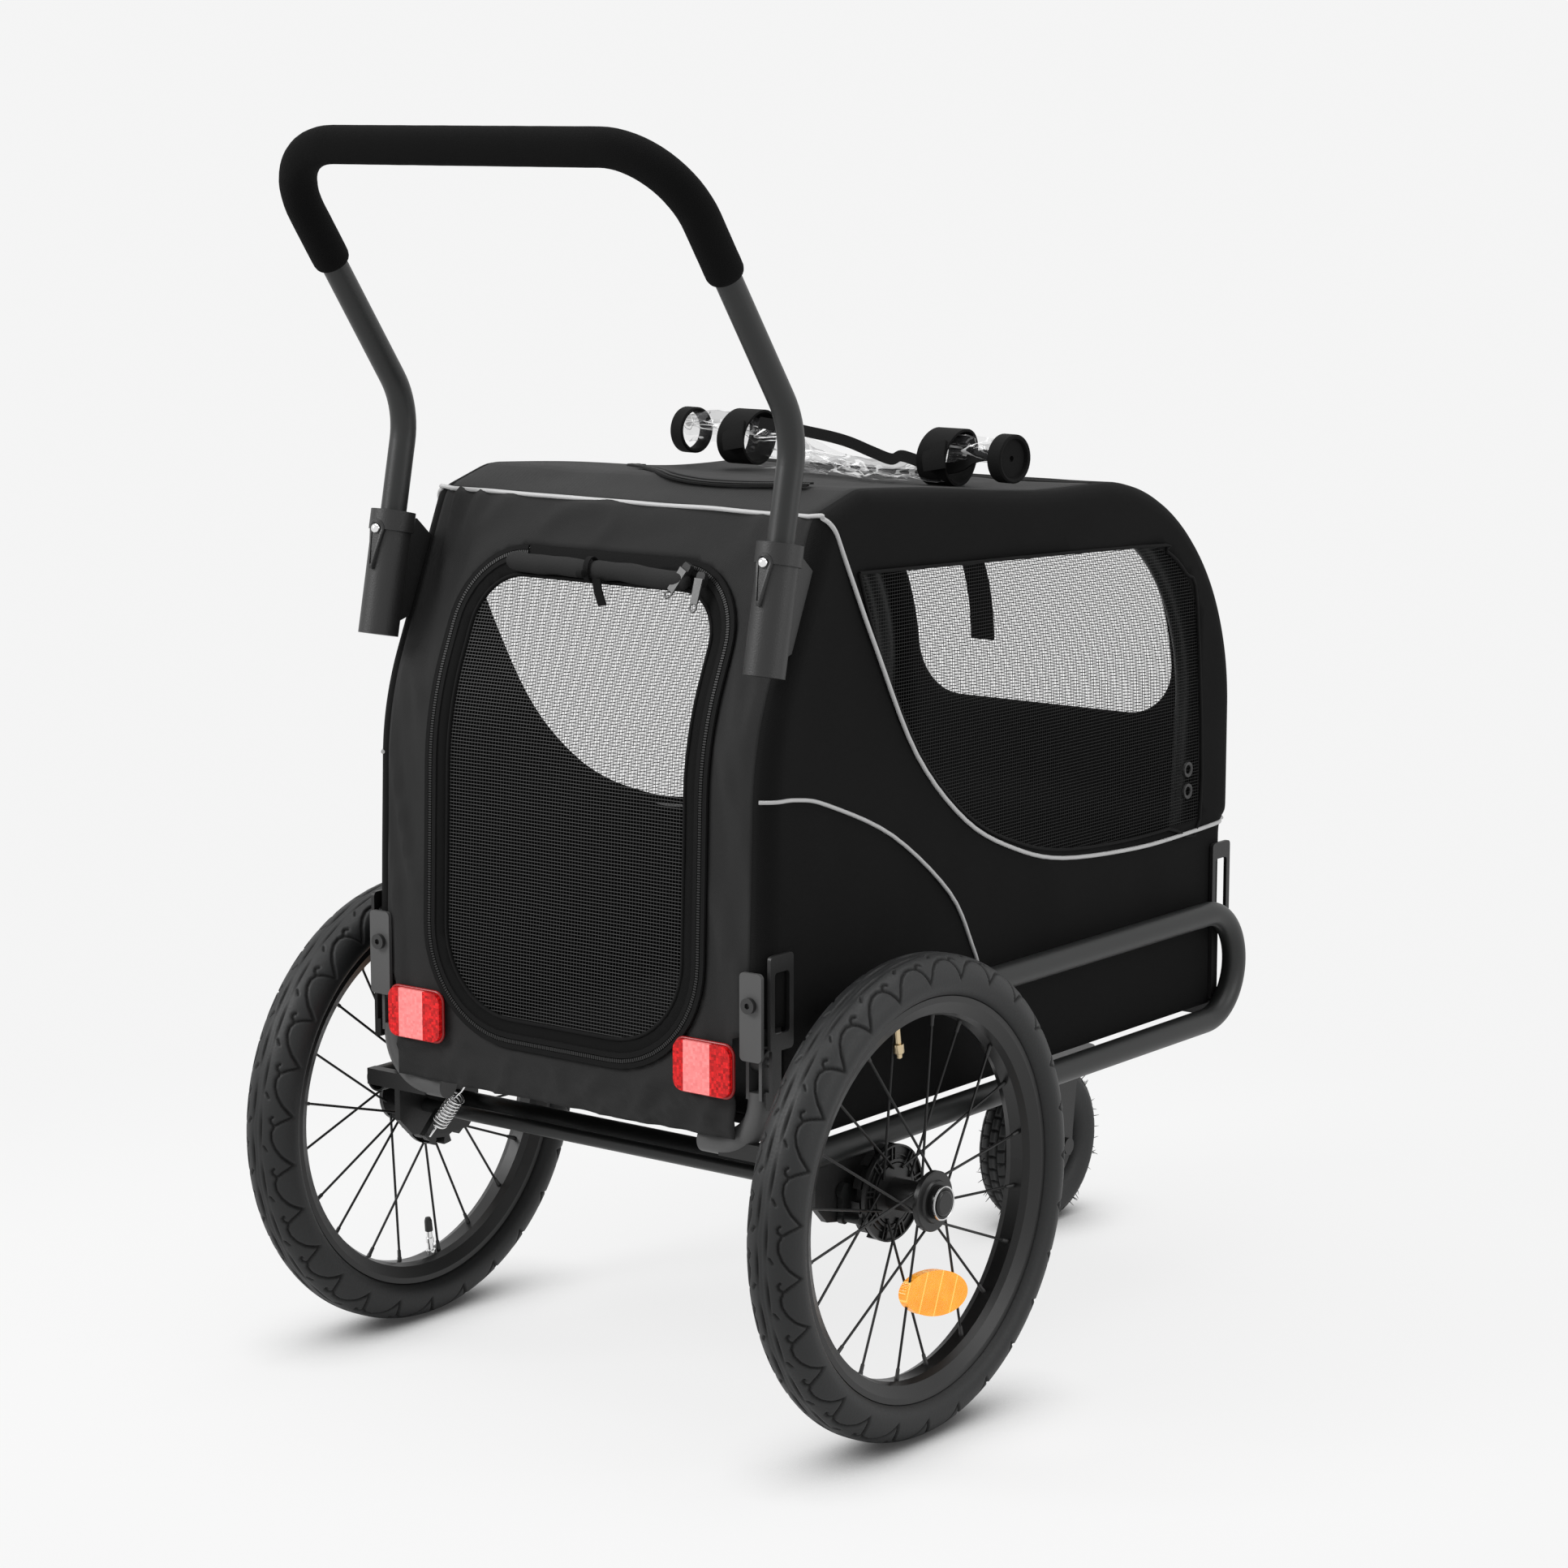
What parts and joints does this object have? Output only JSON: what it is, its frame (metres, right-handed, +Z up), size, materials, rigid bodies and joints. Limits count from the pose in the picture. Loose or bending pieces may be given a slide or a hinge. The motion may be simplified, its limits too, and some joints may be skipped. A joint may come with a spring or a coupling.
{
  "type": "pet stroller",
  "caption": "Folding pet stroller with a mesh-windowed fabric cabin on a tube frame, large spoked rear wheels, a swivelling front wheel, a foot brake and a pull-out push handle.",
  "frame": {"origin": "on the ground under the middle of the object's box", "axes": "+Z up, +Y forward in the direction of travel, +X to the right of the person pushing"},
  "size_m": [0.6126, 0.9079, 1.0592],
  "materials": {
    "tyre": "matte moulded rubber",
    "rim": "satin moulded plastic",
    "spoke": "drawn wire",
    "hub": "satin moulded plastic",
    "amber_lens": "clear prismatic lens",
    "red_lens": "clear prismatic lens",
    "steel": "zinc plated",
    "button": "plated",
    "black_tube": "satin powder coat",
    "bright_rod": "grey coat",
    "black_plate": "satin powder coat",
    "black_plastic": "fine moulded grain",
    "board": "sheet",
    "foam": "closed-cell foam",
    "grey_cloth": "woven polyester",
    "black_cloth": "woven polyester",
    "mesh": "open polyester mesh",
    "clear_film": "soft clear film"
  },
  "bodies": {
    "chassis": {"side_rail_right": "black_tube", "side_rail_left": "black_tube", "rear_bow": "black_tube", "front_bow": "black_tube", "frame_lugs": "black_tube", "corner_brackets": "black_plastic", "hinge_pins": "steel", "floor_board": "board", "floor_pad": "grey_cloth", "axle_beam": "black_tube", "dropout_right": "black_plate", "dropout_left": "black_plate", "wheel_axle_right": "steel", "wheel_axle_left": "steel", "caster_housing": "black_plastic", "side_panel_right": "grey_cloth", "side_panel_left": "grey_cloth", "side_mesh_right": "mesh", "side_mesh_left": "mesh", "roof_panel": "black_cloth", "front_panel": "black_cloth", "front_mesh": "mesh", "rain_cover_roll": "clear_film", "roll_straps": "black_cloth", "rear_panel_lower": "grey_cloth", "rear_reflectors": "red_lens", "brake_spring": "steel"},
    "rear_frame": {"rear_hoop": "black_tube", "tab_plates": "black_tube", "tab_bolts": "steel", "handle_sockets": "black_plastic", "rear_panel_upper": "black_cloth"},
    "rear_door": {"rear_door_band": "black_cloth", "rear_door_mesh": "mesh", "rear_flap_roll": "black_cloth"},
    "front_frame": {"front_hoop": "black_tube"},
    "handle": {"handle_tube": "black_tube", "handle_grip": "foam"},
    "brake": {"brake_bar": "bright_rod"},
    "caster": {"caster_fork": "black_plate", "caster_axle": "steel"},
    "front_wheel": {"front_tyre": "tyre", "front_rim": "rim"},
    "wheel_right": {"tyre_right": "tyre", "rim_right": "rim", "spokes_right": "spoke", "hub_right": "hub", "brake_disc_right": "hub", "spoke_reflector_right": "amber_lens"},
    "handle_snap_right": {"handle_button_right": "button"},
    "axle_release_right": {"axle_button_right": "button"},
    "wheel_left": {"tyre_left": "tyre", "rim_left": "rim", "spokes_left": "spoke", "hub_left": "hub", "brake_disc_left": "hub", "spoke_reflector_left": "amber_lens"},
    "handle_snap_left": {"handle_button_left": "button"},
    "axle_release_left": {"axle_button_left": "button"}
  },
  "joints": [
    {"name": "rear_fold", "type": "hinge", "parent": "chassis", "child": "rear_frame", "pos_m": [0, -0.3175, 0.322], "axis": [-1, 0, 0], "range_deg": [0, 78], "deforming": ["side_panel_right", "side_panel_left", "side_mesh_right", "side_mesh_left", "roof_panel", "front_panel", "front_mesh", "rain_cover_roll", "roll_straps"]},
    {"name": "front_fold", "type": "hinge", "parent": "chassis", "child": "front_frame", "pos_m": [0, 0.3435, 0.33], "axis": [1, 0, 0], "range_deg": [0, 40]},
    {"name": "door_hinge", "type": "hinge", "parent": "rear_frame", "child": "rear_door", "pos_m": [0, -0.2653, 0.7094], "axis": [1, 0, 0], "range_deg": [-100, 0]},
    {"name": "handle_slide", "type": "slide", "parent": "rear_frame", "child": "handle", "axis": [0, 0.205, 0.9788], "range_m": [0, 0.11]},
    {"name": "brake_pivot", "type": "hinge", "parent": "chassis", "child": "brake", "pos_m": [0, -0.2545, 0.207], "axis": [1, 0, 0], "range_deg": [0, 20], "stiffness_Nm_per_rad": 3, "deforming": ["brake_spring"]},
    {"name": "caster_swivel", "type": "hinge", "parent": "chassis", "child": "caster", "pos_m": [0, 0.3455, 0.2], "axis": [0, 0, 1], "continuous": true},
    {"name": "front_wheel_spin", "type": "hinge", "parent": "caster", "child": "front_wheel", "pos_m": [0, 0.3755, 0.078], "axis": [1, 0, 0], "continuous": true},
    {"name": "wheel_right_spin", "type": "hinge", "parent": "chassis", "child": "wheel_right", "pos_m": [0.273, -0.2145, 0.2], "axis": [1, 0, 0], "continuous": true},
    {"name": "axle_release_right_press", "type": "slide", "parent": "chassis", "child": "axle_release_right", "axis": [-1, 0, 0], "range_m": [0, 0.0025], "stiffness_N_per_m": 400},
    {"name": "handle_snap_right_press", "type": "slide", "parent": "handle", "child": "handle_snap_right", "axis": [0, 0.9788, -0.205], "range_m": [0, 0.0045], "stiffness_N_per_m": 300},
    {"name": "wheel_left_spin", "type": "hinge", "parent": "chassis", "child": "wheel_left", "pos_m": [-0.273, -0.2145, 0.2], "axis": [1, 0, 0], "continuous": true},
    {"name": "axle_release_left_press", "type": "slide", "parent": "chassis", "child": "axle_release_left", "axis": [1, 0, 0], "range_m": [0, 0.0025], "stiffness_N_per_m": 400},
    {"name": "handle_snap_left_press", "type": "slide", "parent": "handle", "child": "handle_snap_left", "axis": [0, 0.9788, -0.205], "range_m": [0, 0.0045], "stiffness_N_per_m": 300}
  ],
  "couplings": [
    {"joint": "front_fold", "follows": "rear_fold", "ratio": 0.46}
  ]
}
